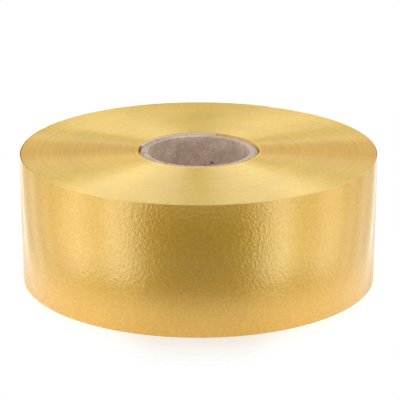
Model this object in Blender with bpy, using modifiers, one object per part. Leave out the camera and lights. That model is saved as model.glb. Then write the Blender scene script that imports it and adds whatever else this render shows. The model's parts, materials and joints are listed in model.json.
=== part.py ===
"""A roll of wide metallised gift ribbon on a paperboard core, standing on its end face.

The frame has +Z along the core, with its origin in the middle of the bottom face, and is in metres.
Seen from above, the ribbon winds clockwise from its taped start on the core to its free end, so its
angle about +Z falls from turn to turn and its radius grows. The last stretch is a tail of short leaves,
each hinged to the one before, that swings outwards as the ribbon is pulled off the roll.
"""

import math

import bmesh
import bpy
from mathutils import Vector

# Driving dimensions, in metres.
RIBBON_WIDTH = 0.050  # also the roll's height
ROLL_DIAMETER = 0.137  # over the free end
CORE_BORE = 0.039
PLY_THICKNESS = 0.0008
CORE_RECESS = 0.0005  # from the ribbon's edges to the core's ends
CORE_SHIFT = 0.0004  # the core sits this much nearer the front of the winding
BORE_CHAMFER = 0.0005
RIBBON_THICKNESS = 0.00015
TAPE_THICKNESS = 0.00015
TAPE_RECESS = 0.001  # from the ribbon's edges to the tape's
CLEARANCE = 0.0003  # between touching pieces

# Angles about +Z, in degrees.
FREE_END = 65.0
TAIL_LEAVES = 8
LEAF_ANGLE = 10.0
START_EDGE = 70.0
TAPE_FIRST, TAPE_LAST = 73.0, 165.0
FACET = 2.5
CORE_FACET = 5.0

PLY_NAMES = ("core_inner_ply", "core_middle_ply", "core_outer_ply")
COLLECTION = "gift_ribbon_roll"

# Sizes that follow from those above.
TURN = 360.0
LAYER = RIBBON_THICKNESS + CLEARANCE  # pitch of the turns that are modelled singly
TAIL_ROOT = FREE_END + TAIL_LEAVES * LEAF_ANGLE
CORE_RADIUS = CORE_BORE / 2 + len(PLY_NAMES) * PLY_THICKNESS + (len(PLY_NAMES) - 1) * CLEARANCE
START_RADIUS = CORE_RADIUS + CORE_SHIFT + CLEARANCE + RIBBON_THICKNESS


def clear_scene():
    """Remove every object that the scene starts with."""
    for obj in list(bpy.data.objects):
        bpy.data.objects.remove(obj, do_unlink=True)


def make_material(name, colour, roughness, metallic):
    """Return a Principled material with these values."""
    material = bpy.data.materials.new(name)
    material.use_nodes = True
    shader = material.node_tree.nodes["Principled BSDF"]
    shader.inputs["Base Color"].default_value = (*colour, 1.0)
    shader.inputs["Roughness"].default_value = roughness
    shader.inputs["Metallic"].default_value = metallic
    return material


def gold_film():
    """Metallised and embossed polypropylene film."""
    return make_material("gold_film", (0.80, 0.53, 0.13), 0.38, 1.0)


def core_board():
    """Recycled grey-brown board."""
    return make_material("core_board", (0.38, 0.29, 0.22), 0.9, 0.0)


def tape_paper():
    """Cream paper tape."""
    return make_material("tape_paper", (0.80, 0.72, 0.55), 0.7, 0.0)


def polar(radius, degrees):
    """Return x and y at this radius and angle."""
    angle = math.radians(degrees)
    return radius * math.cos(angle), radius * math.sin(angle)


def stations(first, last, facet):
    """Return the angles from first to last, with every multiple of facet between them."""
    between = range(math.floor(first / facet) + 1, math.ceil(last / facet))
    return [first, *(step * facet for step in between), last]


def gap_angle(radius):
    """Return the angle that the clearance spans at this radius."""
    return math.degrees(CLEARANCE / radius)


def outer_radius(degrees):
    """Return the outermost spiral's outer radius. The angle grows inwards, from the free end's."""
    return ROLL_DIAMETER / 2 - LAYER * (degrees - FREE_END) / TURN


def inner_radius(degrees):
    """Return the innermost spiral's outer radius. The angle falls outwards, from the start edge's."""
    return START_RADIUS + LAYER * (START_EDGE - degrees) / TURN


def add_object(name, data, material, collection):
    """Put new geometry in the collection, with its material."""
    obj = bpy.data.objects.new(name, data)
    data.materials.append(material)
    collection.objects.link(obj)
    return obj


def strip(name, corners, low, high, thickness, material, collection):
    """Return an upright strip whose outer face runs through the corners, anticlockwise from above."""
    form = bmesh.new()
    foot = [form.verts.new((x, y, low)) for x, y in corners]
    edges = [form.edges.new(pair) for pair in zip(foot, foot[1:])]
    raised = bmesh.ops.extrude_edge_only(form, edges=edges)["geom"]
    top = [part for part in raised if isinstance(part, bmesh.types.BMVert)]
    bmesh.ops.translate(form, verts=top, vec=(0.0, 0.0, high - low))
    form.normal_update()
    outwards = (foot[1].co - foot[0].co).cross(Vector((0.0, 0.0, 1.0)))
    if edges[0].link_faces[0].normal.dot(outwards) < 0:
        bmesh.ops.reverse_faces(form, faces=form.faces)
    mesh = bpy.data.meshes.new(name)
    form.to_mesh(mesh)
    form.free()
    mesh.shade_smooth()
    obj = add_object(name, mesh, material, collection)
    wall = obj.modifiers.new("Wall", "SOLIDIFY")
    wall.thickness = thickness
    wall.offset = -1.0
    wall.use_even_offset = True
    return obj


def core_ply(index, board, collection):
    """Return one paperboard tube of the core, counted from the bore. The first has chamfered ends."""
    inner = CORE_BORE / 2 + index * (PLY_THICKNESS + CLEARANCE)
    outer = inner + PLY_THICKNESS
    low, high = CORE_RECESS, RIBBON_WIDTH - CORE_RECESS
    chamfer = BORE_CHAMFER if index == 0 else 0.0
    profile = [(outer, high), (outer, low), (inner + chamfer, low)]
    if chamfer:
        profile += [(inner, low + chamfer), (inner, high - chamfer)]
    profile.append((inner + chamfer, high))

    form = bmesh.new()
    corners = [form.verts.new((radius, 0.0, height)) for radius, height in profile]
    for pair in zip(corners, corners[1:] + corners[:1]):
        form.edges.new(pair)
    mesh = bpy.data.meshes.new(PLY_NAMES[index])
    form.to_mesh(mesh)
    form.free()
    obj = add_object(PLY_NAMES[index], mesh, board, collection)
    obj.location.y = -CORE_SHIFT
    turned = obj.modifiers.new("Turned", "SCREW")
    turned.steps = turned.render_steps = round(TURN / CORE_FACET)
    turned.use_merge_vertices = True
    turned.merge_threshold = 1e-5
    return obj


def start_tape(paper, collection):
    """Return the paper tape on the core's back, beside the ribbon's start edge."""
    radius = CORE_RADIUS + CLEARANCE + TAPE_THICKNESS
    corners = []
    for angle in stations(TAPE_FIRST, TAPE_LAST, CORE_FACET):
        x, y = polar(radius, angle)
        corners.append((x, y - CORE_SHIFT))
    low, high = TAPE_RECESS, RIBBON_WIDTH - TAPE_RECESS
    return strip("start_tape", corners, low, high, TAPE_THICKNESS, paper, collection)


def first_turn(film, collection):
    """Return the ribbon's innermost turn, from its start edge to where the winding takes over."""
    gap = gap_angle(START_RADIUS)
    angles = stations(START_EDGE - TURN + gap, START_EDGE - gap, CORE_FACET)
    corners = [polar(inner_radius(angle), angle) for angle in angles]
    return strip("ribbon_first_turn", corners, 0.0, RIBBON_WIDTH, RIBBON_THICKNESS, film, collection)


def winding(film, collection):
    """Return the ring of all the turns between the first and the outermost."""
    outline = [
        polar(outer_radius(angle + TURN), angle)
        for angle in stations(TAIL_ROOT, TAIL_ROOT + TURN, FACET)
    ]
    bore = [
        polar(inner_radius(angle) + CLEARANCE, angle)
        for angle in stations(START_EDGE - TURN, START_EDGE, CORE_FACET)
    ]
    curve = bpy.data.curves.new("ribbon_winding", "CURVE")
    curve.dimensions = "2D"
    curve.fill_mode = "BOTH"
    curve.extrude = RIBBON_WIDTH / 2
    for loop in (outline, bore):
        spline = curve.splines.new("POLY")
        spline.points.add(len(loop) - 1)
        for point, (x, y) in zip(spline.points, loop):
            point.co = (x, y, 0.0, 1.0)
        spline.use_cyclic_u = True
    obj = add_object("ribbon_winding", curve, film, collection)
    obj.location.z = RIBBON_WIDTH / 2
    return obj


def outer_turn(film, collection):
    """Return the outermost whole turn, which ends at the tail's root."""
    gap = gap_angle(ROLL_DIAMETER / 2)
    angles = stations(TAIL_ROOT + gap / 2, TAIL_ROOT + TURN - gap, FACET)
    corners = [polar(outer_radius(angle), angle) for angle in angles]
    return strip("ribbon_outer_turn", corners, 0.0, RIBBON_WIDTH, RIBBON_THICKNESS, film, collection)


def hinge_point(index):
    """Return where the leaf of this index, counted from the root, turns: the middle of the film."""
    angle = TAIL_ROOT - index * LEAF_ANGLE
    return polar(outer_radius(angle) - RIBBON_THICKNESS / 2, angle)


def tail_leaf(index, parent, film, collection):
    """Return one leaf of the tail, with its origin on its hinge and hung on the leaf before it."""
    gap = gap_angle(ROLL_DIAMETER / 2)
    root = TAIL_ROOT - index * LEAF_ANGLE
    tip_gap = 0.0 if index == TAIL_LEAVES - 1 else gap / 2
    pivot_x, pivot_y = hinge_point(index)
    corners = []
    for angle in stations(root - LEAF_ANGLE + tip_gap, root - gap / 2, FACET):
        x, y = polar(outer_radius(angle), angle)
        corners.append((x - pivot_x, y - pivot_y))
    name = f"ribbon_tail_{index + 1}"
    leaf = strip(name, corners, 0.0, RIBBON_WIDTH, RIBBON_THICKNESS, film, collection)
    parent_x, parent_y = hinge_point(index - 1) if parent else (0.0, 0.0)
    leaf.parent = parent
    leaf.location = (pivot_x - parent_x, pivot_y - parent_y, 0.0)
    return leaf


def build():
    """Make the whole roll."""
    clear_scene()
    collection = bpy.data.collections.new(COLLECTION)
    bpy.context.scene.collection.children.link(collection)
    film, board, paper = gold_film(), core_board(), tape_paper()
    for index in range(len(PLY_NAMES)):
        core_ply(index, board, collection)
    start_tape(paper, collection)
    first_turn(film, collection)
    winding(film, collection)
    outer_turn(film, collection)
    leaf = None
    for index in range(TAIL_LEAVES):
        leaf = tail_leaf(index, leaf, film, collection)


build()
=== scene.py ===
"""The look of a roll of wide gold gift ribbon that stands on its end face.

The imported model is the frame. Each class of a sub-assembly takes its places from the frame, builds
finer pieces there, dresses them and hangs them on the bodies that carry them. Lengths are in metres.
Angles are in degrees about +Z and fall from turn to turn, outwards along the ribbon.
"""

from __future__ import annotations

import json
import logging
import math
from dataclasses import dataclass, field, replace
from enum import Enum
from typing import Any, Mapping, Sequence, Union

import bmesh
import bpy
import numpy as np
from mathutils import Matrix, Vector, noise

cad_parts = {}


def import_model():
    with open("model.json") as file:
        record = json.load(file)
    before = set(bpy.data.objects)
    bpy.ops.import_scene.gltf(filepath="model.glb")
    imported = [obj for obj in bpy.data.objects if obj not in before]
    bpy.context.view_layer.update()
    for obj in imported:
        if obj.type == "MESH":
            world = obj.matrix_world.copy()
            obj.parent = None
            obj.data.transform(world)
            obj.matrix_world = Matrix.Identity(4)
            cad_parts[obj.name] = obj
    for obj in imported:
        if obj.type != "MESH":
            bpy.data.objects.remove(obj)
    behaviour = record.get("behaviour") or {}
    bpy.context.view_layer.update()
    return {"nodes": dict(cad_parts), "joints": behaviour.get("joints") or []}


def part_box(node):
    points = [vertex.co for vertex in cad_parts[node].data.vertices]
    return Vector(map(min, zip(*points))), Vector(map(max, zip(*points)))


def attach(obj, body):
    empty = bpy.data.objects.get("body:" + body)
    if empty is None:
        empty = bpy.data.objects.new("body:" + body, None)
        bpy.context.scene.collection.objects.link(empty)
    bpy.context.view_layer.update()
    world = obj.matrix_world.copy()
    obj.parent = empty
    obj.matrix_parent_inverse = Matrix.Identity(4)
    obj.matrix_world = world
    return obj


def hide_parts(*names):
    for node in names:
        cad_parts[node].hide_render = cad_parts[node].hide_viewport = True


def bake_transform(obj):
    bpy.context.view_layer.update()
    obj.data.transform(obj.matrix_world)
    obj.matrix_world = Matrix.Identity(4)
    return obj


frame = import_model()

LOG = logging.getLogger("gift_ribbon_roll")
ROLL = "roll"
MILLIMETRE = 0.001
TURN = 360.0
WINDING_PITCH = 0.1435 * MILLIMETRE
SHARP_FROM = math.radians(50.0)

Rgb = tuple[float, float, float]
Span = tuple[float, float]
Socket = bpy.types.NodeSocket
Object = bpy.types.Object
Number = Union["Value", float]
Inputs = Mapping[Union[int, str], Any]
WHITE: Rgb = (1.0, 1.0, 1.0)


# ---- node graphs


class Value:
    """A number that a node gives out. It takes part in Python sums, which add Math nodes."""

    def __init__(self, graph: Graph, socket: Socket) -> None:
        """Wrap an output socket.

        Args:
            graph: The graph that the socket belongs to.
            socket: The output that gives the number.
        """
        self.graph = graph
        self.socket = socket

    def __add__(self, other: Number) -> Value:
        """Return self + other."""
        return self.graph.maths("ADD", self, other)

    def __radd__(self, other: Number) -> Value:
        """Return other + self."""
        return self.graph.maths("ADD", other, self)

    def __sub__(self, other: Number) -> Value:
        """Return self - other."""
        return self.graph.maths("SUBTRACT", self, other)

    def __rsub__(self, other: Number) -> Value:
        """Return other - self."""
        return self.graph.maths("SUBTRACT", other, self)

    def __mul__(self, other: Number) -> Value:
        """Return self * other."""
        return self.graph.maths("MULTIPLY", self, other)

    def __rmul__(self, other: Number) -> Value:
        """Return other * self."""
        return self.graph.maths("MULTIPLY", other, self)

    def __truediv__(self, other: Number) -> Value:
        """Return self / other."""
        return self.graph.maths("DIVIDE", self, other)

    def __rtruediv__(self, other: Number) -> Value:
        """Return other / self."""
        return self.graph.maths("DIVIDE", other, self)

    def __pow__(self, other: Number) -> Value:
        """Return self ** other."""
        return self.graph.maths("POWER", self, other)

    def __abs__(self) -> Value:
        """Return the absolute value."""
        return self.graph.maths("ABSOLUTE", self)

    def __gt__(self, other: Number) -> Value:
        """Return 1 where self is greater than other, or else 0."""
        return self.graph.maths("GREATER_THAN", self, other)

    def ranged(self, low: float, high: float, to_low: float = 0.0, to_high: float = 1.0) -> Value:
        """Map low to high onto a new range, smoothly and without passing its ends.

        Args:
            low: The value that becomes to_low.
            high: The value that becomes to_high.
            to_low: The new range's first end.
            to_high: The new range's last end.

        Returns:
            The mapped value.
        """
        values = {0: self, 1: low, 2: high, 3: to_low, 4: to_high}
        return self.graph.output(
            "ShaderNodeMapRange", values, "Result", interpolation_type="SMOOTHSTEP"
        )

    def swing(self, reach: float) -> Value:
        """Turn a pattern from 0 to 1 into one from -reach / 2 to reach / 2."""
        return (self - 0.5) * reach


def mixture(shares: Sequence[float], *patterns: Value) -> Value:
    """Return patterns added up, each times its share."""
    first, *others = [pattern * share for pattern, share in zip(patterns, shares)]
    return sum(others, first)


class Graph:
    """A node tree, for a material, the world or a modifier, with short ways to add to it."""

    def __init__(self, tree: bpy.types.NodeTree) -> None:
        """Wrap a node tree.

        Args:
            tree: The tree that nodes are added to.
        """
        self.tree = tree

    def node(
        self,
        kind: str,
        values: Inputs | None = None,
        settings: Mapping[str, Any] | None = None,
    ) -> bpy.types.Node:
        """Add a node.

        Args:
            kind: The node's type.
            values: What its input sockets take, as for give.
            settings: Its properties, which are set first.

        Returns:
            The new node.
        """
        made = self.tree.nodes.new(kind)
        for name, setting in (settings or {}).items():
            setattr(made, name, setting)
        for key, value in (values or {}).items():
            self.give(made.inputs[key], value)
        return made

    def give(self, socket: Socket, value: Any) -> None:
        """Link an input socket, or set it.

        Args:
            socket: The input.
            value: A Value or an output socket, which is linked, or else a plain value.
        """
        if isinstance(value, Value):
            value = value.socket
        if isinstance(value, Socket):
            self.tree.links.new(value, socket)
        else:
            socket.default_value = (*value, 1.0) if socket.type == "RGBA" else value

    def first(self, kind: str, values: Inputs, **settings: Any) -> Socket:
        """Add a node and return its first output."""
        return self.node(kind, values, settings).outputs[0]

    def output(self, kind: str, values: Inputs, name: str, **settings: Any) -> Value:
        """Add a node and return one of its outputs by name."""
        return Value(self, self.node(kind, values, settings).outputs[name])

    def maths(self, operation: str, *terms: Number) -> Value:
        """Add a Math node and return what it gives."""
        return Value(self, self.first("ShaderNodeMath", dict(enumerate(terms)), operation=operation))

    def vector(self, x: Number, y: Number = 0.0, z: Number = 0.0) -> Socket:
        """Return the vector with these parts."""
        return self.first("ShaderNodeCombineXYZ", {0: x, 1: y, 2: z})

    def parts(self, vector: Socket) -> list[Value]:
        """Return a vector's three parts."""
        parts = self.node("ShaderNodeSeparateXYZ", {0: vector}).outputs
        return [Value(self, part) for part in parts]

    def length(self, vector: Socket) -> Value:
        """Return a vector's length."""
        return self.output("ShaderNodeVectorMath", {0: vector}, "Value", operation="LENGTH")

    def stretched(self, vector: Socket, scale: Rgb) -> Socket:
        """Scale a vector along each axis."""
        return self.first("ShaderNodeVectorMath", {0: vector, 1: scale}, operation="MULTIPLY")

    def blend(self, factor: Number, first: Any, second: Any) -> Socket:
        """Mix two colours.

        Args:
            factor: 0 for the first colour, 1 for the second.
            first: A colour, or a socket that gives one.
            second: A colour, or a socket that gives one.

        Returns:
            The socket that gives the mixed colour.
        """
        values = {0: factor, 6: first, 7: second}
        return self.node("ShaderNodeMix", values, {"data_type": "RGBA"}).outputs[2]


class ShaderGraph(Graph):
    """The node tree of a new material, which ends in one Principled shader or in two mixed."""

    def __init__(self, name: str) -> None:
        """Start a material.

        Args:
            name: The material's name.
        """
        self.material = bpy.data.materials.new(name)
        self.material.use_nodes = True
        super().__init__(self.material.node_tree)
        self.shader = self.tree.nodes["Principled BSDF"]
        self.place = self.node("ShaderNodeTexCoord").outputs["Object"]

    def speckle(self, size: float, detail: float, place: Socket | None = None) -> Value:
        """Return a noise from 0 to 1.

        Args:
            size: How long its waves are, in metres.
            detail: How many finer layers it has.
            place: Where it is read, or None for the piece's own place.

        Returns:
            The noise.
        """
        values = {"Vector": place or self.place, "Scale": 1.0 / size, "Detail": detail}
        return self.output("ShaderNodeTexNoise", values, "Fac")

    def cells(self, size: float, feature: str) -> Value:
        """Return the distance to the middle of the nearest of many cells.

        Args:
            size: How far apart the cells are, in metres.
            feature: F1 or SMOOTH_F1.

        Returns:
            The distance, where 1 is the cells' own size.
        """
        values = {"Vector": self.place, "Scale": 1.0 / size}
        return self.output("ShaderNodeTexVoronoi", values, "Distance", feature=feature)

    def relief(self, height: Value, depth: float) -> Socket:
        """Return the normal of a surface raised by a pattern, whose 1 stands depth metres high."""
        return self.first("ShaderNodeBump", {"Height": height, "Distance": depth, "Strength": 1.0})

    def set(self, **values: Any) -> None:
        """Set or link the shader's inputs.

        Args:
            values: The inputs by name, in lower case with _ for a space.
        """
        self._fill(self.shader, values)

    def glint(self, share: float, **values: Any) -> None:
        """Lay a second, sharper reflection over part of the shader's.

        Args:
            share: How much of the light it takes.
            values: Its inputs, as for set.
        """
        second = self.node("ShaderNodeBsdfPrincipled")
        self._fill(second, {"metallic": 1.0, **values})
        ends = {0: share, 1: self.shader.outputs[0], 2: second.outputs[0]}
        mixed = self.first("ShaderNodeMixShader", ends)
        self.give(self.tree.nodes["Material Output"].inputs["Surface"], mixed)

    def _fill(self, shader: bpy.types.Node, values: Mapping[str, Any]) -> None:
        """Set or link a shader's inputs.

        Args:
            shader: The shader.
            values: The inputs by name, as for set.
        """
        for name, value in values.items():
            title = name.replace("_", " ").title().replace("Ior", "IOR")
            self.give(shader.inputs[title], value)


class GeometryGraph(Graph):
    """A Geometry Nodes tree with named inputs and one geometry output."""

    SOCKETS = {
        float: "NodeSocketFloat",
        int: "NodeSocketInt",
        bpy.types.Material: "NodeSocketMaterial",
    }

    def __init__(self, name: str, inputs: Mapping[str, type]) -> None:
        """Start a tree.

        Args:
            name: The tree's name.
            inputs: The type of each input, by name.
        """
        super().__init__(bpy.data.node_groups.new(name, "GeometryNodeTree"))
        for title, kind in inputs.items():
            self.tree.interface.new_socket(title, in_out="INPUT", socket_type=self.SOCKETS[kind])
        self.tree.interface.new_socket(
            "Geometry", in_out="OUTPUT", socket_type="NodeSocketGeometry"
        )
        self.given = self.node("NodeGroupInput")

    def __getitem__(self, name: str) -> Value:
        """Return an input by name."""
        return Value(self, self.given.outputs[name])

    def finish(self, geometry: Socket) -> None:
        """Send the geometry to the tree's output."""
        self.node("NodeGroupOutput", {"Geometry": geometry})


# ---- meshes


def polar(radius: float, degrees: float, height: float = 0.0) -> Vector:
    """Return the point at this radius, angle and height."""
    angle = math.radians(degrees)
    return Vector((radius * math.cos(angle), radius * math.sin(angle), height))


def numbers(items: Any, name: str, kind: type, width: int = 1) -> np.ndarray:
    """Read one property of a mesh's vertices, corners or faces.

    Args:
        items: The collection that holds them.
        name: The property's name.
        kind: The type of number.
        width: How many numbers it has.

    Returns:
        A row for each item, or a plain list of numbers where the width is 1.
    """
    found = np.empty(len(items) * width, kind)
    items.foreach_get(name, found)
    return found.reshape(-1, width) if width > 1 else found


def grown(name: str, graph: GeometryGraph, inputs: Mapping[str, Any]) -> Object:
    """Run a Geometry Nodes tree and keep what it makes as a plain mesh.

    Args:
        name: The new object's name.
        graph: The tree.
        inputs: A value for each of the tree's inputs, by name.

    Returns:
        The new object, at the origin, with no modifier left.
    """
    obj = bpy.data.objects.new(name, bpy.data.meshes.new(f"{name}_seed"))
    bpy.context.scene.collection.objects.link(obj)
    modifier = obj.modifiers.new("Grow", "NODES")
    modifier.node_group = graph.tree
    for item in graph.tree.interface.items_tree:
        if item.in_out == "INPUT":
            modifier[item.identifier] = inputs[item.name]
    bpy.context.view_layer.update()
    depsgraph = bpy.context.evaluated_depsgraph_get()
    mesh = bpy.data.meshes.new_from_object(
        obj.evaluated_get(depsgraph), preserve_all_data_layers=True, depsgraph=depsgraph
    )
    mesh.name = name
    obj.modifiers.remove(modifier)
    seed = obj.data
    obj.data = mesh
    bpy.data.meshes.remove(seed)
    return obj


def turned(
    name: str, profile: Sequence[Span], steps: int, centre: Vector, wear: float, grains: Span
) -> Object:
    """Turn a closed profile round a vertical axis, with a little unevenness.

    Args:
        name: The new object's name.
        profile: The section's corners as (radius, height).
        steps: How many steps the turn has.
        centre: A point on the axis.
        wear: How far the unevenness moves a point, at most.
        grains: How long the waves of the unevenness are, fine and coarse.

    Returns:
        The new object, a closed ring with its faces pointing out.
    """
    form = bmesh.new()
    rings = []
    for step in range(steps):
        ring = []
        for radius, height in profile:
            point = polar(radius, TURN * step / steps, height)
            fine, coarse = (noise.noise_vector(point / grain) for grain in grains)
            ring.append(form.verts.new(point + centre + (fine + coarse) * wear * 0.5))
        rings.append(ring)
    for ring, beyond in zip(rings, rings[1:] + rings[:1]):
        for k in range(len(profile)):
            form.faces.new((ring[k - 1], beyond[k - 1], beyond[k], ring[k]))
    bmesh.ops.recalc_face_normals(form, faces=form.faces)
    mesh = bpy.data.meshes.new(name)
    form.to_mesh(mesh)
    form.free()
    mesh.shade_smooth()
    mesh.set_sharp_from_angle(angle=SHARP_FROM)
    obj = bpy.data.objects.new(name, mesh)
    bpy.context.scene.collection.objects.link(obj)
    return obj


class Slot(Enum):
    """The record's material slots."""

    FILM = "gold_film"
    BOARD = "core_board"
    PAPER = "tape_paper"


def seat(obj: Object, slot: Slot, *nodes: str) -> None:
    """Hang a finished piece on the roll, in place of the plain nodes that it stands for."""
    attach(obj, ROLL)
    record(obj, slot, *nodes)


def record(obj: Object, slot: Slot, *nodes: str) -> None:
    """Hide the plain nodes that a piece replaces, and log its slot and those nodes.

    Args:
        obj: The piece.
        slot: The record's material slot that its finish belongs to.
        nodes: The plain nodes that it replaces.
    """
    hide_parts(*nodes)
    faces = len(obj.data.polygons)
    LOG.info("%s: %d faces, slot %s, stands for %s", obj.name, faces, slot.value, ", ".join(nodes))


# ---- finishes


@dataclass(frozen=True)
class GoldFilm:
    """Metallised film with a fine embossed grain under a thin lacquer."""

    name: str = "gold_film"
    light: Rgb = (0.84, 0.475, 0.006)
    deep: Rgb = (0.71, 0.38, 0.002)
    tones: Span = (0.45, 1.05)
    roughness: float = 0.58
    coat: float = 0.8
    coat_roughness: float = 0.16
    coat_index: float = 1.5
    glint: Rgb = (0.98, 0.84, 0.44)
    glint_roughness: float = 0.17
    glint_share: float = 0.24
    grain: float = 0.85 * MILLIMETRE
    warp: float = 0.85 / 0.9 * MILLIMETRE
    fine: float = 0.85 / 2.4 * MILLIMETRE
    cloud: float = 14.0 * MILLIMETRE
    mix: tuple[float, ...] = (0.7, 0.5, 0.45)
    cloud_haze: float = 0.06
    fine_haze: float = 0.08
    depth: float = 0.12 * MILLIMETRE

    def material(self) -> bpy.types.Material:
        """Make the material.

        Returns:
            The new material.
        """
        graph = ShaderGraph(self.name)
        pits = graph.cells(self.grain, "SMOOTH_F1")
        warp = graph.speckle(self.warp, detail=1.0)
        fine = graph.speckle(self.fine, detail=2.0)
        cloud = graph.speckle(self.cloud, detail=3.0)
        grain = mixture(self.mix, pits, warp, fine)
        embossed = graph.relief(grain, self.depth)
        graph.set(
            base_color=graph.blend(grain.ranged(*self.tones), self.deep, self.light),
            metallic=1.0,
            roughness=self.roughness + cloud.swing(self.cloud_haze) + fine.swing(self.fine_haze),
            coat_weight=self.coat,
            coat_roughness=self.coat_roughness,
            coat_ior=self.coat_index,
            normal=embossed,
        )
        graph.glint(
            self.glint_share,
            base_color=self.glint,
            roughness=self.glint_roughness,
            normal=embossed,
        )
        return graph.material


@dataclass(frozen=True)
class CutEdges:
    """The ribbon's slit edges: film seen edge on, which is paler and more satin than its face."""

    name: str = "cut_edges"
    light: Rgb = (1.0, 0.665, 0.035)
    deep: Rgb = (0.76, 0.485, 0.008)
    tones: Span = (0.33, 0.67)
    roughness: float = 0.42
    glint: Rgb = (1.0, 0.95, 0.88)
    glint_roughness: float = 0.16
    glint_share: float = 0.21
    ring: float = 1.3 * MILLIMETRE
    streak: float = 0.9 * MILLIMETRE
    cloud: float = 18.0 * MILLIMETRE
    mix: tuple[float, ...] = (0.5, 0.3, 0.2)
    streak_haze: float = 0.10
    ring_haze: float = 0.08

    def material(self) -> bpy.types.Material:
        """Make the material.

        Returns:
            The new material.
        """
        graph = ShaderGraph(self.name)
        reach = graph.length(graph.stretched(graph.place, (1.0, 1.0, 0.0)))
        rings = graph.speckle(self.ring, detail=4.0, place=graph.vector(reach))
        streaks = graph.speckle(self.streak, detail=2.0)
        cloud = graph.speckle(self.cloud, detail=2.0)
        tone = mixture(self.mix, rings, streaks, cloud)
        haze = streaks.swing(self.streak_haze)
        graph.set(
            base_color=graph.blend(tone.ranged(*self.tones), self.deep, self.light),
            metallic=1.0,
            roughness=self.roughness + haze + rings.swing(self.ring_haze),
        )
        graph.glint(
            self.glint_share,
            base_color=self.glint,
            roughness=self.glint_roughness + haze,
        )
        return graph.material


@dataclass(frozen=True)
class Marks:
    """Small round marks that are scattered over a finish."""

    colour: Rgb
    strength: float
    apart: float
    rim: Span


@dataclass(frozen=True)
class CoreBoard:
    """Recycled grey-brown board with short fibres, dark specks and pale flecks."""

    name: str = "core_board"
    pale: Rgb = (0.86, 0.69, 0.58)
    dark: Rgb = (0.54, 0.41, 0.31)
    tones: Span = (0.38, 0.68)
    roughness: float = 0.86
    fibre: float = 0.8 * MILLIMETRE
    fibre_squash: Rgb = (1.0, 1.0, 2.2)
    cloud: float = 6.0 * MILLIMETRE
    mix: Span = (0.6, 0.45)
    fibre_haze: float = 0.1
    relief: Span = (0.7, 0.3)
    depth: float = 0.10 * MILLIMETRE
    marks: tuple[Marks, ...] = (
        Marks((0.10, 0.07, 0.055), 0.75, 6.4 * MILLIMETRE, (0.06, 0.13)),
        Marks((0.86, 0.74, 0.64), 0.7, 5.3 * MILLIMETRE, (0.05, 0.14)),
    )

    def material(self) -> bpy.types.Material:
        """Make the material.

        Returns:
            The new material.
        """
        graph = ShaderGraph(self.name)
        squashed = graph.stretched(graph.place, self.fibre_squash)
        fibres = graph.speckle(self.fibre, detail=3.0, place=squashed)
        cloud = graph.speckle(self.cloud, detail=3.0)
        tone = mixture(self.mix, fibres, cloud).ranged(*self.tones)
        board = graph.blend(tone, self.dark, self.pale)
        for mark in self.marks:
            spots = 1.0 - graph.cells(mark.apart, "F1").ranged(*mark.rim)
            board = graph.blend(spots * mark.strength, board, mark.colour)
        graph.set(
            base_color=board,
            roughness=self.roughness + fibres.swing(self.fibre_haze),
            normal=graph.relief(mixture(self.relief, fibres, cloud), self.depth),
        )
        return graph.material


@dataclass(frozen=True)
class TapePaper:
    """Cream crepe paper tape."""

    name: str = "tape_paper"
    pale: Rgb = (0.95, 0.86, 0.66)
    dark: Rgb = (0.86, 0.75, 0.54)
    tones: Span = (0.3, 0.7)
    roughness: float = 0.38
    crepe: float = 0.5 * MILLIMETRE
    crepe_stretch: Rgb = (1.0, 1.0, 0.15)
    crepe_haze: float = 0.1
    depth: float = 0.05 * MILLIMETRE

    def material(self) -> bpy.types.Material:
        """Make the material.

        Returns:
            The new material.
        """
        graph = ShaderGraph(self.name)
        stretched = graph.stretched(graph.place, self.crepe_stretch)
        crepe = graph.speckle(self.crepe, detail=2.0, place=stretched)
        graph.set(
            base_color=graph.blend(crepe.ranged(*self.tones), self.dark, self.pale),
            roughness=self.roughness + crepe.swing(self.crepe_haze),
            normal=graph.relief(crepe, self.depth),
        )
        return graph.material


# ---- the ribbon


@dataclass(frozen=True)
class Stretch:
    """One stretch of the ribbon along its spiral.

    The ends are the angle and the radius of the film's middle at each end.
    """

    first_angle: float
    last_angle: float
    first_radius: float
    last_radius: float

    @property
    def turns(self) -> float:
        """How many turns the stretch makes."""
        return (self.first_angle - self.last_angle) / TURN

    def radius(self, angle: float) -> float:
        """Return the film's radius at this angle."""
        share = (self.first_angle - angle) / (self.first_angle - self.last_angle)
        return self.first_radius + (self.last_radius - self.first_radius) * share

    def part(self, first: float, last: float) -> Stretch:
        """Return the part of the stretch between two angles."""
        return Stretch(first, last, self.radius(first), self.radius(last))


class Lie(Enum):
    """How a stretch of strip lies among its neighbours."""

    PACKED = "among the packed turns, where its edges wander and shade as one"
    FLAT = "flat on the turn beneath"
    LOOSE = "loose, with a slight belly before its free end"


EDGE_HEIGHTS = {
    Lie.PACKED: 0.085 * MILLIMETRE,
    Lie.FLAT: 0.045 * MILLIMETRE,
    Lie.LOOSE: 0.09 * MILLIMETRE,
}


@dataclass(frozen=True)
class StripFinish:
    """The finishes of a strip: its faces and its slit edges."""

    face: bpy.types.Material
    edge: bpy.types.Material


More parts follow.
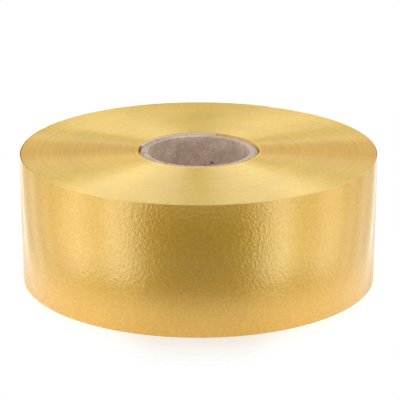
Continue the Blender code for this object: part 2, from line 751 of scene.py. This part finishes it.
class RibbonTree:
    """The Geometry Nodes tree that lays a closed strip of film along a spiral stretch."""

    INPUTS: dict[str, type] = {
        "Stations": int,
        "First Angle": float,
        "Last Angle": float,
        "First Radius": float,
        "Last Radius": float,
        "Belly From": float,
        "Belly To": float,
        "Belly": float,
        "Width": float,
        "Foot": float,
        "Thickness": float,
        "Edge Height": float,
        "Wander": float,
        "Crease From": float,
        "Crease To": float,
        "Face Finish": bpy.types.Material,
        "Edge Finish": bpy.types.Material,
    }
    SIDES = 6
    TIP_RISE = 0.75
    EDGE_SLOPE = 0.3
    SEED = 7.0
    DRIFT_STEP = 1.7

    def __init__(self) -> None:
        """Build the tree."""
        self.graph = GeometryGraph("ribbon_strip", self.INPUTS)
        strip = self._strip(self._path(), self._section())
        self.graph.finish(self._dressed(strip))

    def _path(self) -> Socket:
        """Lay out the film's path.

        Returns:
            The spiral that the film's middle follows, with its belly and its drift.
        """
        graph = self.graph
        index = graph.output("GeometryNodeInputIndex", {}, "Index")
        progress = index / (graph["Stations"] - 1.0)
        first, last = graph["First Angle"], graph["Last Angle"]
        angle = first + (last - first) * progress
        along_belly = (angle - graph["Belly From"]) / (graph["Belly To"] - graph["Belly From"])
        share = graph.maths("MINIMUM", graph.maths("MAXIMUM", along_belly, 0.0), 1.0)
        swell = graph.maths("SINE", share * math.pi) ** 2.0
        spiral = graph["First Radius"] + (graph["Last Radius"] - graph["First Radius"]) * progress
        radius = spiral + graph["Belly"] * swell
        across, along = graph.maths("COSINE", angle), graph.maths("SINE", angle)
        where = graph.vector(across, along, angle / math.tau * self.DRIFT_STEP)
        values = {"Vector": where, "W": self.SEED, "Scale": 1.0, "Detail": 2.0}
        drift = graph.output("ShaderNodeTexNoise", values, "Fac", noise_dimensions="4D")
        height = graph["Foot"] + graph["Width"] * 0.5 + graph["Wander"] * (drift - 0.5)
        point = graph.vector(radius * across, radius * along, height)
        line = graph.first("GeometryNodeMeshLine", {"Count": graph["Stations"]})
        placed = graph.first("GeometryNodeSetPosition", {"Geometry": line, "Position": point})
        curve = graph.first("GeometryNodeMeshToCurve", {"Mesh": placed})
        return graph.first("GeometryNodeSetCurveNormal", {"Curve": curve}, mode="Z_UP")

    def _section(self) -> Socket:
        """Lay out the film's section.

        Returns:
            A tall hexagon whose short sides are the slit edges.
        """
        graph = self.graph
        ring = graph.first(
            "GeometryNodeCurvePrimitiveCircle", {"Resolution": self.SIDES}, mode="RADIUS"
        )
        index = graph.output("GeometryNodeInputIndex", {}, "Index")
        angle = (index + self.SIDES / 4) * (math.tau / self.SIDES)
        side = graph.maths("SIGN", graph.maths("ROUND", graph.maths("COSINE", angle) * 2.0))
        rise = graph.maths("SINE", angle)
        shoulder = 1.0 - (abs(rise) > self.TIP_RISE)
        half = graph["Width"] * 0.5 - graph["Edge Height"] * shoulder
        corner = graph.vector(
            side * shoulder * graph["Thickness"] * 0.5, graph.maths("SIGN", rise) * half
        )
        return graph.first("GeometryNodeSetPosition", {"Geometry": ring, "Position": corner})

    def _strip(self, path: Socket, section: Socket) -> Socket:
        """Sweep the section along the path and crease its sharp edges.

        Args:
            path: The curve that the film follows.
            section: The closed curve that is swept.

        Returns:
            The closed strip.
        """
        graph, kind = self.graph, "GeometryNodeSetShadeSmooth"
        values = {"Curve": path, "Profile Curve": section, "Fill Caps": True}
        swept = graph.first("GeometryNodeCurveToMesh", values)
        smooth = graph.first(kind, {"Geometry": swept, "Shade Smooth": True}, domain="FACE")
        bend = graph.output("GeometryNodeInputMeshEdgeAngle", {}, "Unsigned Angle")
        creased = (bend > graph["Crease From"]) * (graph["Crease To"] > bend)
        values = {"Geometry": smooth, "Selection": creased, "Shade Smooth": False}
        return graph.first(kind, values, domain="EDGE")

    def _dressed(self, strip: Socket) -> Socket:
        """Give the faces and the slit edges their finishes.

        Args:
            strip: The strip as it was swept.

        Returns:
            The dressed strip, with nothing left instanced.
        """
        graph, kind = self.graph, "GeometryNodeSetMaterial"
        real = graph.first("GeometryNodeRealizeInstances", {"Geometry": strip})
        faced = graph.first(kind, {"Geometry": real, "Material": graph["Face Finish"]})
        lean = graph.parts(graph.first("GeometryNodeInputNormal", {}))[2]
        edges = {"Selection": abs(lean) > self.EDGE_SLOPE, "Material": graph["Edge Finish"]}
        return graph.first(kind, {"Geometry": faced, **edges})


@dataclass
class Ribbon:
    """The film that every stretch of the ribbon is cut from."""

    finish: StripFinish
    width: float
    tree: RibbonTree = field(default_factory=RibbonTree)
    thickness: float = 0.139 * MILLIMETRE
    wander: float = 0.08 * MILLIMETRE
    crease: Span = (60.0, 120.0)
    belly: float = 0.10 * MILLIMETRE
    belly_from: float = 150.0
    belly_to: float = 67.0

    def lay(
        self, name: str, stretch: Stretch, facet: float, lie: Lie, foot: float = 0.0
    ) -> Object:
        """Lay one stretch of the strip.

        Args:
            name: The piece's name.
            stretch: Where the strip's middle runs.
            facet: The angle from one station of its path to the next.
            lie: How the strip lies among its neighbours.
            foot: How far its lower edge is above the floor.

        Returns:
            The piece, with its faces pointing out.
        """
        packed = lie is Lie.PACKED
        wander = self.wander if packed else 0.0
        inputs = {
            "Stations": round((stretch.first_angle - stretch.last_angle) / facet) + 1,
            "First Angle": math.radians(stretch.first_angle),
            "Last Angle": math.radians(stretch.last_angle),
            "First Radius": stretch.first_radius,
            "Last Radius": stretch.last_radius,
            "Belly From": math.radians(self.belly_from),
            "Belly To": math.radians(self.belly_to),
            "Belly": self.belly if lie is Lie.LOOSE else 0.0,
            "Width": self.width - wander,
            "Foot": foot + wander * 0.5,
            "Thickness": self.thickness,
            "Edge Height": EDGE_HEIGHTS[lie],
            "Wander": wander,
            "Crease From": math.pi if packed else math.radians(self.crease[0]),
            "Crease To": math.radians(self.crease[1]),
            "Face Finish": self.finish.face,
            "Edge Finish": self.finish.edge,
        }
        return grown(name, self.tree.graph, inputs)


# ---- sizes


@dataclass(frozen=True)
class RollSizes:
    """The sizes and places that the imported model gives.

    The start is the angle and the inner radius at which the ribbon begins on the core.
    """

    width: float
    centre: Vector
    plies: tuple[Span, ...]
    core_ends: Span
    tape_angles: Span
    tape_ends: Span
    start: Span
    outermost: Stretch
    hinges: tuple[float, ...]

    @staticmethod
    def corners(node: str, centre: Vector) -> list[Span]:
        """Return where each corner of a node is.

        Args:
            node: The node's name.
            centre: The point that the corners are seen from.

        Returns:
            Each corner's radius and angle about the centre.
        """
        found = []
        for vertex in frame["nodes"][node].data.vertices:
            x, y = vertex.co.x - centre.x, vertex.co.y - centre.y
            found.append((math.hypot(x, y), math.degrees(math.atan2(y, x))))
        return found

    @classmethod
    def read(cls) -> RollSizes:
        """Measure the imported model.

        Returns:
            Its sizes.
        """
        low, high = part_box("core_outer_ply")
        centre = Vector(((low.x + high.x) / 2, (low.y + high.y) / 2, 0.0))
        plies = []
        for name in Core.NODES:
            radii = [radius for radius, _ in cls.corners(name, centre)]
            plies.append((min(radii), max(radii)))
        tape_low, tape_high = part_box(StartTape.NODE)
        tape_angles = [angle for _, angle in cls.corners(StartTape.NODE, centre)]
        hub = Vector((0.0, 0.0, 0.0))
        turn = cls.corners(FirstTurn.NODE, hub)
        hinges = [Vector(joint["pos_m"]) for joint in frame["joints"]]
        angles = [math.degrees(math.atan2(place.y, place.x)) for place in hinges]
        radii = [math.hypot(place.x, place.y) for place in hinges]
        pitch = (radii[-1] - radii[0]) / (angles[0] - angles[-1]) * TURN
        free_end = min(angle for _, angle in cls.corners(Tail.NODES[-1], hub))
        return cls(
            width=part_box(OuterTurn.NODE)[1].z,
            centre=centre,
            plies=tuple(plies),
            core_ends=(low.z, high.z),
            tape_angles=(max(tape_angles), min(tape_angles)),
            tape_ends=(tape_low.z, tape_high.z),
            start=((min(turn)[1] + max(turn)[1]) / 2, min(turn)[0]),
            outermost=Stretch(
                angles[0] + TURN,
                free_end,
                radii[0] - pitch,
                radii[0] + pitch * (angles[0] - free_end) / TURN,
            ),
            hinges=tuple(angles),
        )


# ---- sub-assemblies


@dataclass
class Core:
    """The paperboard core: three tubes wound tight, one on the other."""

    sizes: RollSizes
    board: bpy.types.Material
    steps: int = 240
    joint: float = 0.02 * MILLIMETRE
    softs: tuple[float, ...] = (0.22 * MILLIMETRE, 0.12 * MILLIMETRE, 0.39 * MILLIMETRE)
    wear: float = 0.10 * MILLIMETRE
    wear_grains: Span = (1.8 * MILLIMETRE, 9.0 * MILLIMETRE)
    chamfer: float = 0.3
    crown: float = 0.15

    NODES = ("core_inner_ply", "core_middle_ply", "core_outer_ply")
    ROWS = (0.05, 0.2, 0.4, 0.6, 0.8, 0.95)

    def build(self) -> list[Object]:
        """Turn the tubes.

        Returns:
            The tubes, from the bore outwards.
        """
        inner = [radii[0] for radii in self.sizes.plies]
        outer = inner[1:] + [self.sizes.plies[-1][1]]
        gaps = (self.joint, self.joint, 0.0)
        turning = (self.steps, self.sizes.centre, self.wear, self.wear_grains)
        return [
            turned(f"{name}_board", self._section(low, high - gap, soft), *turning)
            for name, low, high, gap, soft in zip(self.NODES, inner, outer, gaps, self.softs)
        ]

    def _section(self, inner: float, outer: float, soft: float) -> list[Span]:
        """Return a tube's section with softened ends.

        Args:
            inner: The tube's inner radius.
            outer: Its outer radius.
            soft: How far its corners are rounded.

        Returns:
            The corners as (radius, height).
        """
        foot, top = self.sizes.core_ends
        rise = [foot + (top - foot) * share for share in self.ROWS]
        chamfer = soft * self.chamfer
        end = [(outer, top - soft), (outer - chamfer, top - chamfer), (outer - soft, top)]
        end += [((inner + outer) / 2, top - soft * self.crown), (inner + soft, top)]
        end += [(inner + chamfer, top - chamfer), (inner, top - soft)]
        up = [(outer, height) for height in rise]
        down = [(inner, height) for height in reversed(rise)]
        base = [(radius, foot + top - height) for radius, height in reversed(end)]
        return up + end + down + base

    def dress(self, tubes: Sequence[Object]) -> None:
        """Give the tubes their board and hang them on the roll.

        Args:
            tubes: What build returned.
        """
        for tube, node in zip(tubes, self.NODES):
            tube.data.materials.append(self.board)
            seat(tube, Slot.BOARD, node)


@dataclass
class StartTape:
    """The paper tape that holds the ribbon's start on the core."""

    sizes: RollSizes
    finish: StripFinish
    tree: RibbonTree
    thickness: float = 0.75 * MILLIMETRE
    joint: float = 0.02 * MILLIMETRE
    level: float = 0.85 * MILLIMETRE
    facet: float = 1.0

    NODE = "start_tape"

    def build(self) -> Object:
        """Lay the tape about the core's own axis.

        Returns:
            The tape.
        """
        foot, top = self.sizes.tape_ends
        foot, top = foot - self.level, top + self.level
        strip = Ribbon(self.finish, top - foot, self.tree, self.thickness)
        middle = self.sizes.plies[-1][1] + self.joint + self.thickness / 2
        stretch = Stretch(*self.sizes.tape_angles, middle, middle)
        tape = strip.lay("start_tape_paper", stretch, self.facet, Lie.FLAT, foot)
        tape.data.transform(Matrix.Translation(self.sizes.centre))
        return tape

    def dress(self, tape: Object) -> None:
        """Hang the tape on the roll."""
        seat(tape, Slot.PAPER, self.NODE)


@dataclass
class FirstTurn:
    """The ribbon's first turn, whose inner face shows in the gap round the core."""

    sizes: RollSizes
    ribbon: Ribbon
    pitch: float
    facet: float = 2.5

    NODE = "ribbon_first_turn"

    @property
    def stretch(self) -> Stretch:
        """Where the turn's film runs.

        Returns:
            One whole turn of the film's middle.
        """
        angle, inside = self.sizes.start
        radius = inside + self.ribbon.thickness / 2
        return Stretch(angle, angle - TURN, radius, radius + self.pitch)

    def build(self) -> Object:
        """Return the turn."""
        return self.ribbon.lay("ribbon_first_turn_film", self.stretch, self.facet, Lie.FLAT)

    def dress(self, turn: Object) -> None:
        """Hang the turn on the roll."""
        seat(turn, Slot.FILM, self.NODE)


@dataclass
class Winding:
    """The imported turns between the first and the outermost, in three stretches."""

    ribbon: Ribbon
    start: Stretch
    end: Stretch
    parts: int = 3
    facet: float = 2.5
    disc_middle: float = 0.292
    disc_radius: float = 0.28324
    wall_across: Span = (0.0056, 0.2744)
    wall_up: Span = (0.955, 0.995)

    NODE = "ribbon_winding"

    def stretches(self) -> list[Stretch]:
        """Return where each part's film runs, from the inside outwards.

        Returns:
            The stretches. Every one but the last makes whole turns.
        """
        first, last = self.start.last_angle, self.end.first_angle
        growth = self.end.first_radius - self.start.last_radius
        pitch = self.start.last_radius - self.start.first_radius
        rounds = round((growth / pitch * TURN - (first - last)) / TURN)
        whole = Stretch(
            first, last - TURN * rounds, self.start.last_radius, self.end.first_radius
        )
        share = math.floor(whole.turns / self.parts)
        cuts = [first - TURN * share * k for k in range(self.parts)] + [whole.last_angle]
        return [whole.part(*ends) for ends in zip(cuts, cuts[1:])]

    def build(self) -> list[Object]:
        """Lay the parts.

        Returns:
            The parts, from the inside outwards.
        """
        parts = []
        for k, stretch in enumerate(self.stretches()):
            name = f"ribbon_winding_part_{k + 1}"
            parts.append(self.ribbon.lay(name, stretch, self.facet, Lie.PACKED))
            self._lay_map(parts[-1].data)
        return parts

    def _lay_map(self, mesh: bpy.types.Mesh) -> None:
        """Lay a map for the part's finish, named OFBake.

        Its two discs are the end faces, and the narrow strip in its corner is the wall.

        Args:
            mesh: The part's mesh, wound about the origin.
        """
        corner = numbers(mesh.loops, "vertex_index", np.int32)
        place = numbers(mesh.vertices, "co", np.float32, 3)[corner]
        counts = numbers(mesh.polygons, "loop_total", np.int32)
        lean = np.repeat(numbers(mesh.polygons, "normal", np.float32, 3)[:, 2], counts)
        middle = np.repeat(numbers(mesh.polygons, "center", np.float32, 3), counts, axis=0)
        about = np.arctan2(middle[:, 1], middle[:, 0])
        swing = np.arctan2(place[:, 1], place[:, 0]) - about
        swing = (swing + np.pi) % (2 * np.pi) - np.pi
        flat = place[:, :2] * self.disc_radius / self.end.first_radius
        disc = np.where(lean > 0, self.disc_middle, 1.0 - self.disc_middle)[:, None] + flat
        around = (about + swing) / (2 * np.pi) + 0.5
        up = place[:, 2] / self.ribbon.width
        spans = ((self.wall_across, around), (self.wall_up, up))
        wall = np.stack([low + (high - low) * share for (low, high), share in spans], axis=1)
        end = (np.abs(lean) > RibbonTree.EDGE_SLOPE)[:, None]
        layer = mesh.uv_layers.new(name="OFBake")
        layer.uv.foreach_set("vector", np.where(end, disc, wall).astype(np.float32).ravel())

    def dress(self, parts: Sequence[Object]) -> None:
        """Hang the parts on the roll."""
        for part in parts:
            seat(part, Slot.FILM, self.NODE)


@dataclass
class OuterTurn:
    """The outermost whole turn, up to where the tail begins."""

    sizes: RollSizes
    ribbon: Ribbon
    facet: float = 0.5

    NODE = "ribbon_outer_turn"

    def build(self) -> Object:
        """Lay the turn.

        Returns:
            The turn.
        """
        whole = self.sizes.outermost
        end = self.sizes.hinges[0] + Tail.half_leaf(self.sizes)
        stretch = whole.part(whole.first_angle, end)
        return self.ribbon.lay("ribbon_outer_turn_film", stretch, self.facet, Lie.LOOSE)

    def dress(self, turn: Object) -> None:
        """Hang the turn on the roll."""
        seat(turn, Slot.FILM, self.NODE)


@dataclass
class Tail:
    """The ribbon's last stretch, which swings out as the film is pulled off."""

    sizes: RollSizes
    ribbon: Ribbon
    facet: float = 0.5

    NODES = tuple(f"ribbon_tail_{k}" for k in range(1, 9))

    @staticmethod
    def half_leaf(sizes: RollSizes) -> float:
        """Return half the angle from one hinge to the next."""
        return (sizes.hinges[0] - sizes.hinges[1]) / 2

    def build(self) -> list[Object]:
        """Lay the tail.

        Returns:
            One piece across each hinge, and then the free end.
        """
        half = self.half_leaf(self.sizes)
        whole = self.sizes.outermost
        cuts = [hinge + half for hinge in self.sizes.hinges]
        cuts += [self.sizes.hinges[-1] - half, whole.last_angle]
        return [
            self.ribbon.lay(f"ribbon_tail_film_{k + 1}", whole.part(*ends), self.facet, Lie.LOOSE)
            for k, ends in enumerate(zip(cuts, cuts[1:]))
        ]

    def dress(self, pieces: Sequence[Object]) -> None:
        """Bake each piece's place into its mesh and log it, and hang the free end on the last leaf.

        Args:
            pieces: What build returned.
        """
        half = self.half_leaf(self.sizes)
        bodies = [ROLL] + [f"tail_{k}" for k in range(1, len(self.NODES) + 1)]
        whole = self.sizes.outermost
        for k, (piece, hinge) in enumerate(zip(pieces, self.sizes.hinges)):
            ends = [polar(whole.radius(hinge + turn), hinge + turn) for turn in (half, -half)]
            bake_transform(piece)
            record(piece, Slot.FILM, self.NODES[k])
        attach(pieces[-1], bodies[-1])
        record(pieces[-1], Slot.FILM, self.NODES[-1])


# ---- studio


@dataclass(frozen=True)
class Softbox:
    """A square-cornered soft light that faces the roll.

    Its azimuth is counted from the camera's side, positive to the camera's right.
    """

    name: str
    azimuth: float
    power: float
    elevation: float = 50.0
    distance: float = 1.2
    width: float = 0.6
    height: float = 0.5

    def hang(self, target: Vector) -> Object:
        """Add the light.

        Args:
            target: The point that it faces.

        Returns:
            The light's object.
        """
        data = bpy.data.lights.new(self.name, "AREA")
        data.shape = "RECTANGLE"
        data.size, data.size_y = self.width, self.height
        data.energy = self.power
        return aimed(self.name, data, target, self.azimuth, self.elevation, self.distance)


def aimed(
    name: str, data: bpy.types.ID, target: Vector, azimuth: float, elevation: float, distance: float
) -> Object:
    """Place a light or camera round a point, and face it.

    Args:
        name: The new object's name.
        data: The light or camera.
        target: The point that it faces.
        azimuth: Its direction from the point, in degrees from -Y towards +X.
        elevation: Its height above the point, in degrees.
        distance: How far it is from the point.

    Returns:
        The new object.
    """
    flat = math.radians(elevation)
    turn = math.radians(azimuth)
    direction = Vector(
        (math.sin(turn) * math.cos(flat), -math.cos(turn) * math.cos(flat), math.sin(flat))
    )
    obj = bpy.data.objects.new(name, data)
    obj.location = target + direction * distance
    obj.rotation_euler = (-direction).to_track_quat("-Z", "Y").to_euler()
    bpy.context.scene.collection.objects.link(obj)
    return obj


@dataclass
class Studio:
    """The pale floor, the soft lights and the camera.

    A strip's shape is its elevation, distance, width and height, as for Softbox.
    """

    target: Vector = Vector((0.00044, 0.0, 0.029588))
    distance: float = 0.745201
    elevation: float = 18.1117
    lens: float = 173.585
    clip: Span = (0.05, 50.0)
    floor_radius: float = 0.12
    floor_pale: Rgb = (0.93, 0.93, 0.93)
    floor_dim: Rgb = (0.90, 0.90, 0.90)
    floor_cloud: float = 0.333
    floor_roughness: float = 0.8
    # Painted light: the floor glows with this strength, white towards its sides as painted side
    # light and the dimmer front colour near its middle.
    floor_light: float = 0.52
    floor_front_painted_glow: Rgb = (0.64, 0.64, 0.64)
    floor_painted_side_glow: Span = (0.012, 0.042)
    floor_fade: Span = (0.069, 0.100)
    softboxes: tuple[Softbox, ...] = (
        Softbox("high_back_left", -150.0, 1.04),
        Softbox("high_side_left", -90.0, 1.11),
        Softbox("high_side_right", 90.0, 0.53),
        Softbox("high_back_right", 150.0, 1.06),
        Softbox("high_back", 180.0, 0.31),
        Softbox("overhead", 0.0, 2.50, 89.0, 1.4, 1.0, 1.0),
    )
    strip_azimuths: tuple[float, ...] = (
        -150.0, -125.0, -108.0, -95.0, -86.0, -78.0, -70.0, -62.0, -54.0, -46.0, -38.0, 38.0,
        46.0, 54.0, 62.0, 70.0, 78.0, 86.0, 95.0, 108.0, 125.0, 150.0,
    )
    strip_powers: tuple[float, ...] = (
        0.85, 0.56, 0.62, 0.64, 0.87, 1.11, 0.67, 0.47, 1.18, 0.92, 0.51, 0.42, 0.84, 1.30, 0.44,
        0.50, 0.61, 1.00, 0.83, 0.58, 0.48, 0.80,
    )
    strip_shape: tuple[float, ...] = (0.0, 1.2, 0.17, 1.3)
    backdrop: float = 1.0
    near_glow: float = 0.18
    near_reach: Span = (0.3, -0.9)
    front_sky: float = 0.45
    sky_reach: Span = (0.1, 0.6)
    far_glow: float = 0.697
    far_reach: Span = (-0.3, 0.9)
    floor_glow: float = 0.12
    floor_reach: Span = (0.05, -0.25)

    def build(self) -> None:
        """Add the floor, the lights, the world and the camera."""
        self._lay_floor()
        for softbox in self.softboxes:
            softbox.hang(self.target)
        for azimuth, power in zip(self.strip_azimuths, self.strip_powers):
            strip = Softbox(f"strip_{azimuth:+.0f}", azimuth, power, *self.strip_shape)
            strip.hang(self.target)
        self._paint_world()
        camera = bpy.data.cameras.new("camera")
        camera.lens = self.lens
        camera.clip_start, camera.clip_end = self.clip
        bpy.context.scene.camera = aimed(
            "camera", camera, self.target, 0.0, self.elevation, self.distance
        )
        bpy.context.scene.view_settings.view_transform = "Standard"
        bpy.context.scene.view_settings.look = "None"

    def _lay_floor(self) -> None:
        """Lay a round pale floor, which gives off a little light as a painted glow, white at its
        sides and dimmer near its middle, and fades out at its rim.
        """
        form = bmesh.new()
        bmesh.ops.create_circle(form, cap_ends=True, segments=96, radius=self.floor_radius)
        mesh = bpy.data.meshes.new("floor")
        form.to_mesh(mesh)
        form.free()
        floor = bpy.data.objects.new("floor", mesh)
        bpy.context.scene.collection.objects.link(floor)
        graph = ShaderGraph("floor_paint")
        # Painted side light: the floor's glow turns from the dim front colour near its middle to
        # white towards its sides.
        sides = abs(graph.parts(graph.place)[0]).ranged(*self.floor_painted_side_glow)
        graph.set(
            base_color=graph.blend(
                graph.speckle(self.floor_cloud, detail=1.0), self.floor_dim, self.floor_pale
            ),
            roughness=self.floor_roughness,
            emission_color=graph.blend(sides, self.floor_front_painted_glow, WHITE),
            emission_strength=self.floor_light,
            alpha=1.0 - graph.length(graph.place).ranged(*self.floor_fade),
        )
        mesh.materials.append(graph.material)

    def _paint_world(self) -> None:
        """Light the room from behind the roll, and more dimly from the camera's side."""
        world = bpy.data.worlds.new("room")
        world.use_nodes = True
        graph = Graph(world.node_tree)
        ground = graph.tree.nodes["Background"]
        where = graph.node("ShaderNodeTexCoord").outputs["Generated"]
        _, depth, height = graph.parts(where)
        front = self.near_glow + height.ranged(*self.sky_reach, 0.0, self.front_sky)
        glow = depth.ranged(*self.near_reach) * front
        glow = glow + depth.ranged(*self.far_reach, 0.0, self.far_glow)
        glow = glow + height.ranged(*self.floor_reach, 0.0, self.floor_glow)
        seen = graph.output("ShaderNodeLightPath", {}, "Is Camera Ray")
        graph.give(ground.inputs["Color"], WHITE)
        graph.give(ground.inputs["Strength"], glow + (self.backdrop - glow) * seen)
        bpy.context.scene.world = world


# ---- the roll


def main() -> None:
    """Build the roll and its studio, and report each piece."""
    logging.basicConfig(level=logging.INFO, format="%(name)s: %(message)s")
    sizes = RollSizes.read()
    board, paper = CoreBoard().material(), TapePaper().material()
    film, slit = GoldFilm().material(), CutEdges().material()
    ribbon = Ribbon(StripFinish(film, slit), sizes.width)

    core = Core(sizes, board)
    core.dress(core.build())
    tape = StartTape(sizes, StripFinish(paper, paper), ribbon.tree)
    tape.dress(tape.build())
    first_turn = FirstTurn(sizes, ribbon, WINDING_PITCH)
    first_turn.dress(first_turn.build())
    winding = Winding(ribbon, first_turn.stretch, sizes.outermost)
    winding.dress(winding.build())
    # Painted highlight: the outermost turn's and the tail's slit edges get a paler, yellower copy of
    # the cut edges, which draws a bright line along the roll's rim.
    rim = CutEdges("outer_edge_painted_highlight", light=(1.0, 0.80, 0.22), deep=(0.95, 0.72, 0.16)).material()
    loose = replace(ribbon, finish=StripFinish(film, rim))
    outer_turn = OuterTurn(sizes, loose)
    outer_turn.dress(outer_turn.build())
    tail = Tail(sizes, loose)
    tail.dress(tail.build())
    Studio().build()


if __name__ == "__main__":
    main()
